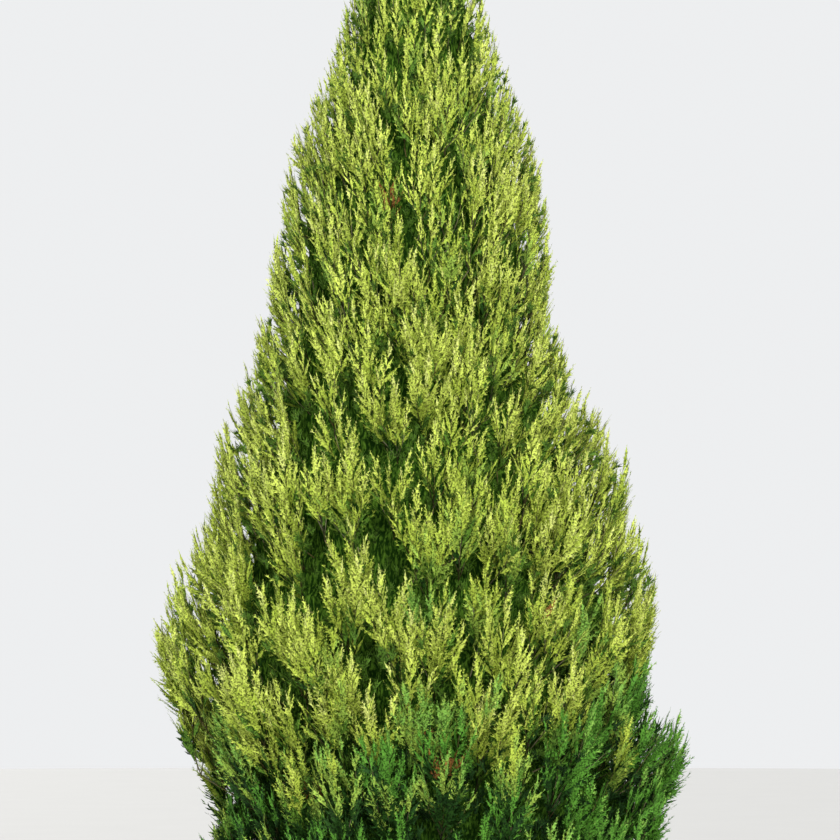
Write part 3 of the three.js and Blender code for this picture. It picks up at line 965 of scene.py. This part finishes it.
def toned(colour, factor):
    """A colour made lighter or darker."""
    return tuple(min(part * factor, 1) for part in colour)


def foliage_material(name, colour, roughness=0.6, specular=0.14):
    """Scale leaves: patches of lighter and darker growth, small painted highlights, and painted shade
    in the fine gaps between overlapping scales.
    """
    material, tree, shader, place = new_material(f"foliage_{name}", roughness, specular)
    patches = add_ramp(tree, add_noise(tree, place, scale=3.5), none=0.35, full=0.65)
    base = add_mix(tree, patches, toned(colour, 0.98), toned(colour, 1.18))
    # Painted highlights: spots lighter than the foliage's colour, where light would catch the tips of
    # the scales.
    tips = add_ramp(tree, add_noise(tree, place, scale=70.0, detail=2.0), none=0.49, full=0.62)
    highlighted = add_mix(tree, tips, base, toned(colour, 1.20))
    # Painted shade: flecks much darker than the foliage's colour in the fine gaps between scales, where
    # the same grains sink in the bump.
    grains = add_noise(tree, place, scale=105.0, detail=2.0)
    gap_shade = add_ramp(tree, grains, none=0.52, full=0.41)
    with_gap_shade = add_mix(tree, gap_shade, highlighted, toned(colour, 0.28))
    tree.links.new(with_gap_shade, shader.inputs["Base Color"])
    add_bump(tree, shader, grains, strength=0.8, distance=0.004)
    return material


def inside_material(dark, light, light_below):
    """The closed inside of the crown, a sheet painted dark as the shade deep in the crown: upright
    streaks of dim foliage, greener low down.
    """
    material, tree, shader, place = new_material("shaded_inside", roughness=1.0, specular=0.0)
    stretched = add_stretch(tree, place, across=85.0, along=24.0)
    streaks = add_noise(tree, stretched, detail=4.0, rough=0.6)
    parts = add_node(tree, "ShaderNodeSeparateXYZ")
    tree.links.new(place, parts.inputs["Vector"])
    height = parts.outputs["Z"]
    low = add_ramp(tree, height, none=GREEN_HEIGHT, full=GREEN_HEIGHT - GREEN_BLEND)
    lit = add_mix(tree, low, light, light_below)
    base = add_mix(tree, add_ramp(tree, streaks, none=0.46, full=0.66), dark, lit)
    tree.links.new(base, shader.inputs["Base Color"])
    add_bump(tree, shader, streaks, strength=1.0, distance=0.02)
    return material


def bark_material(name, colour, scale):
    """Fibrous bark: long strips, dark in the furrows as painted shade, and grey where it has weathered.
    """
    material, tree, shader, place = new_material(name, roughness=0.88, specular=0.2)
    stretched = add_stretch(tree, place, across=scale, along=scale * 0.12)
    strips = add_noise(tree, stretched, detail=6.0, rough=0.6)
    ridges = add_ramp(tree, strips, none=0.38, full=0.62)
    # Painted shade: the furrows, low in the bump, are made much darker.
    base = add_mix(tree, ridges, toned(colour, 0.35), colour)
    weather = add_ramp(tree, add_noise(tree, place, scale=6.0), none=0.45, full=0.75)
    grey = tuple(lerp(part, aim, 0.4) for part, aim in zip(toned(colour, 1.2), WEATHERED))
    tree.links.new(add_mix(tree, weather, base, grey), shader.inputs["Base Color"])
    add_bump(tree, shader, strips, strength=0.7, distance=0.006)
    return material


def floor_material(colour):
    """A plain pale floor, ever so slightly mottled."""
    material, tree, shader, place = new_material("pale_floor", roughness=0.8, specular=0.2)
    mottle = add_noise(tree, place, scale=0.8)
    mottled = add_mix(tree, mottle, toned(colour, 0.97), toned(colour, 1.03))
    tree.links.new(mottled, shader.inputs["Base Color"])
    return material


# Operators.


class CYPRESS_OT_trunk(bpy.types.Operator):
    """Make the whole trunk, with root flare and furrowed bark"""

    bl_idname = "cypress.trunk"
    bl_label = "Trunk"

    def execute(self, context):
        sizes, colours = context.scene.cypress_sizes, context.scene.cypress_colours
        sides, rings = TRUNK_MESH
        turn = around(sides)[None]
        share = np.linspace(0, 1, rings + 1)[:, None] ** TRUNK_CROWDING
        height = TRUNK_TOP * share
        radius = lerp(TRUNK_TIP_RADIUS, TRUNK_RADIUS, (1 - share) ** TRUNK_TAPER)
        ribs = 1 + FLARE_RIB_DEPTH * np.cos(FLARE_RIBS * turn)
        radius = radius + FLARE_REACH * ribs * np.exp(-height / FLARE_HEIGHT)
        furrows = np.minimum(sizes.bark_relief, radius * TRUNK_FURROW_SHARE)
        radius = radius + relief(turn, height, SEED) * furrows
        height, turn, radius = np.broadcast_arrays(height, turn, radius)
        points = axis_at(height) + outward(turn) * radius[..., None]
        faces = tube_faces(1, sides, rings)
        bark = bark_material("trunk_bark", colours.bark, scale=60.0)
        add_piece("trunk_bark", points.reshape(-1, 3), faces, bark, ["trunk"], True)
        return {"FINISHED"}


class CYPRESS_OT_boughs(bpy.types.Operator):
    """Make the main boughs and the twigs that carry the plumes"""

    bl_idname = "cypress.boughs"
    bl_label = "Boughs and twigs"

    def execute(self, context):
        sizes, colours = context.scene.cypress_sizes, context.scene.cypress_colours
        limbs, plumes = [], []
        for space in spaces():
            thick, seed = bough_radius(space), space["seed"]
            thin = thick * BOUGH_TIP_SHARE
            bough, stem = bough_path(space), stem_path(space)
            limbs.append(limb_mesh(bough, (thick, thin), *BOUGH_MESH, BOUGH_FURROW, seed))
            radii = (thin, STEM_TIP_RADIUS)
            limbs.append(limb_mesh(stem, radii, *STEM_MESH, STEM_FURROW, seed + 1))
            plumes += plumes_of(space, sizes)
        plumes += plumes_of_spire(sizes)
        points, faces = joined(limbs)
        bark = bark_material("bough_bark", colours.twig, scale=110.0)
        add_piece("boughs", points, faces, bark, BOUGH_NODES, True)
        fork = np.array([fork for fork, _ in plumes if fork is not None])
        root = np.array([plume[0] for fork, plume in plumes if fork is not None])
        knee = (fork + root) / 2 - UP * TWIG_SAG
        twigs = rod_mesh(fork, knee, root, (TWIG_RADIUS, SPINE_RADIUS), *TWIG_MESH)
        root, knee, tip = (np.array([plume[i] for _, plume in plumes]) for i in range(3))
        spines = rod_mesh(root, knee, tip, (SPINE_RADIUS, SPINE_TIP_RADIUS), *SPINE_MESH)
        points, faces = joined([twigs, spines])
        young = bark_material("twig_bark", colours.young_twig, scale=160.0)
        add_piece("twigs", points, faces, young, BOUGH_NODES, True)
        return {"FINISHED"}


class CYPRESS_OT_shade(bpy.types.Operator):
    """Make the closed inside of the crown, a dark sheet of painted shade that shows between the plumes
    """

    bl_idname = "cypress.shade"
    bl_label = "Shaded inside"

    def execute(self, context):
        colours = context.scene.cypress_colours
        sides, rings = INSIDE_MESH
        turn = around(sides)[None]
        rim = np.linspace(INSIDE_FOOT, INSIDE_TOP, rings + 1)[:, None]
        share = INSIDE_REACH + INSIDE_LUMPS * lumps_at(turn, rim)
        points = crown_point(turn, rim, share * smooth((INSIDE_TOP - rim) / INSIDE_CLOSING))
        points, faces = points.reshape(-1, 3), tube_faces(1, sides, rings)
        # Painted shade: the inside is a dark sheet in the colours of the shade deep in the crown.
        dark, light = toned(colours.shade, 0.5), toned(colours.deep, 1.1)
        shade = inside_material(dark, light, light_below=toned(colours.dusk, 1.1))
        add_piece("shaded_inside", points, faces, shade, FOLIAGE_NODES, True)
        return {"FINISHED"}


class CYPRESS_OT_undergrowth(bpy.types.Operator):
    """Make the short fans of sprigs that fill the crown behind the plumes"""

    bl_idname = "cypress.undergrowth"
    bl_label = "Undergrowth"

    def execute(self, context):
        colours = context.scene.cypress_colours
        random = np.random.default_rng(SEED)
        rim = FAN_TOP * (1 - (1 - random.random(FANS)) ** FAN_CROWDING) + FAN_LOWEST
        turn = random.uniform(0, FULL_TURN, FANS)
        foot = crown_point(turn, rim, random.uniform(*FAN_REACH, FANS))
        way = unit(outward(turn) + UP * random.uniform(*FAN_RISE, (FANS, 1)))
        foot = np.repeat(foot, SPRIGS_IN_A_FAN, 0)
        way = np.repeat(way, SPRIGS_IN_A_FAN, 0)
        aim = unit(way + either_way(random, FAN_SPREAD, way.shape))
        facing = unit(np.cross(aim, either_way(random, 1, aim.shape)))
        long = random.uniform(*FAN_SPRIG, len(foot)) * lerp(1, FAN_SPRIG_AT_TOP, foot[:, 2] / HEIGHT)
        leaves = {"foot": foot, "aim": aim, "facing": facing, "long": long}
        chance = np.repeat(random.uniform(*FAN_GREENNESS, FANS), SPRIGS_IN_A_FAN)
        is_green = greenness(foot + UP * GREEN_BELOW_TIP) > chance
        for name, colour, chosen in (
            ("undergrowth_golden", colours.deep, ~is_green),
            ("undergrowth_green", colours.dusk, is_green),
        ):
            points, faces = leaf_mesh(OUTER_SHAPE, leaves, chosen)
            # Painted shade: the undergrowth is made a little darker than its colours, as it stands in
            # the shade behind the plumes.
            dim = foliage_material(name, toned(colour, 0.85), roughness=0.7, specular=0.2)
            add_piece(name, points, faces, dim, FOLIAGE_NODES)
        return {"FINISHED"}


class CYPRESS_OT_sprays(bpy.types.Operator):
    """Make the plumes of every ring of masses, each tone of foliage as a piece of its own"""

    bl_idname = "cypress.sprays"
    bl_label = "Plumes of foliage"

    def execute(self, context):
        sizes, colours = context.scene.cypress_sizes, context.scene.cypress_colours
        materials = {kind: foliage_material(kind, getattr(colours, kind)) for kind in KINDS}
        plumes = {}
        for space in spaces():
            plumes.setdefault(space["name"], []).extend(plumes_of(space, sizes))
        plumes["spire"] = plumes_of_spire(sizes)
        for index, (name, found) in enumerate(plumes.items()):
            random = np.random.default_rng(SEED + index)
            lots = {kind: [] for kind in KINDS}
            for fork, plume in found:
                # A branch keeps the mood of the plume that it leaves.
                if fork is not None:
                    mood = either_way(random, PALETTE_JITTER)
                palette = palette_of(plume, mood)
                sprigs, blades = leaves_of(plume, sizes, random)
                for leaves, inner, outer in (
                    (sprigs, INNER_SHAPE, OUTER_SHAPE),
                    (blades, BLADE_SHAPE, BLADE_SHAPE),
                ):
                    kinds = kinds_of(leaves, palette, random)
                    for kind, mesh in leaf_meshes(leaves, kinds, inner, outer):
                        lots[kind].append(mesh)
            nodes = [node for node in FOLIAGE_NODES if node.startswith(f"foliage_{name}")]
            for kind, parts in lots.items():
                if parts:
                    points, faces = joined(parts)
                    add_piece(f"{name}_{kind}", points, faces, materials[kind], nodes)
        return {"FINISHED"}


class CYPRESS_OT_stage(bpy.types.Operator):
    """Make the pale floor and the soft light"""

    bl_idname = "cypress.stage"
    bl_label = "Floor and light"

    def execute(self, context):
        colours = context.scene.cypress_colours
        mesh = bpy.data.meshes.new("floor")
        edge = outward(around(FLOOR_SIDES)) * FLOOR_RADIUS
        mesh.from_pydata(edge.tolist(), [], [range(FLOOR_SIDES)])
        mesh.materials.append(floor_material(colours.floor))
        floor = bpy.data.objects.new("floor", mesh)
        context.scene.collection.objects.link(floor)
        for name, towards, width, strength, colour in LIGHTS:
            add_light(name, towards, width, strength, colour)
        world = bpy.data.worlds.new("studio")
        world.use_nodes = True
        background = world.node_tree.nodes["Background"]
        background.inputs["Color"].default_value = (*SKY, 1)
        context.scene.world = world
        context.scene.view_settings.view_transform = "Standard"
        return {"FINISHED"}


def add_light(name, towards, width, strength, colour):
    """A far soft lamp that shines on the tree from a direction."""
    light = bpy.data.lights.new(name, "SUN")
    light.angle = math.radians(width)
    light.energy = strength
    light.color = colour
    lamp = bpy.data.objects.new(name, light)
    lamp.location = towards
    lamp.rotation_euler = Vector(towards).to_track_quat("Z", "Y").to_euler()
    bpy.context.scene.collection.objects.link(lamp)


class CYPRESS_OT_camera(bpy.types.Operator):
    """Make the camera: at a person's eye height, looking slightly up"""

    bl_idname = "cypress.camera"
    bl_label = "Camera"

    def execute(self, context):
        lens = bpy.data.cameras.new("camera")
        lens.sensor_width = SENSOR_WIDTH
        lens.lens = CAMERA_LENS
        camera = bpy.data.objects.new("camera", lens)
        camera.location = CAMERA_PLACE
        camera.rotation_euler = (math.radians(90 + CAMERA_TILT), 0, 0)
        context.scene.collection.objects.link(camera)
        context.scene.camera = camera
        return {"FINISHED"}


OPERATORS = (
    CYPRESS_OT_trunk,
    CYPRESS_OT_boughs,
    CYPRESS_OT_shade,
    CYPRESS_OT_undergrowth,
    CYPRESS_OT_sprays,
    CYPRESS_OT_stage,
    CYPRESS_OT_camera,
)


class CYPRESS_PT_panel(bpy.types.Panel):
    """Lists the sizes, the colours and the steps that grow the tree"""

    bl_idname = "CYPRESS_PT_panel"
    bl_label = "Garden Cypress"
    bl_space_type = "VIEW_3D"
    bl_region_type = "UI"
    bl_category = "Cypress"

    def draw(self, context):
        for group in (context.scene.cypress_sizes, context.scene.cypress_colours):
            box = self.layout.box()
            for key in group.__annotations__:
                box.prop(group, key)
        for operator in OPERATORS:
            self.layout.operator(operator.bl_idname)


CLASSES = (CypressSizes, CypressColours, *OPERATORS, CYPRESS_PT_panel)


def register():
    for cls in CLASSES:
        bpy.utils.register_class(cls)
    bpy.types.Scene.cypress_sizes = bpy.props.PointerProperty(type=CypressSizes)
    bpy.types.Scene.cypress_colours = bpy.props.PointerProperty(type=CypressColours)


def unregister():
    del bpy.types.Scene.cypress_colours
    del bpy.types.Scene.cypress_sizes
    for cls in reversed(CLASSES):
        bpy.utils.unregister_class(cls)


def main():
    register()
    bpy.ops.cypress.camera()
    bpy.ops.cypress.trunk()
    bpy.ops.cypress.boughs()
    bpy.ops.cypress.shade()
    bpy.ops.cypress.undergrowth()
    bpy.ops.cypress.sprays()
    bpy.ops.cypress.stage()
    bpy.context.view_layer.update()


if __name__ == "__main__":
    main()
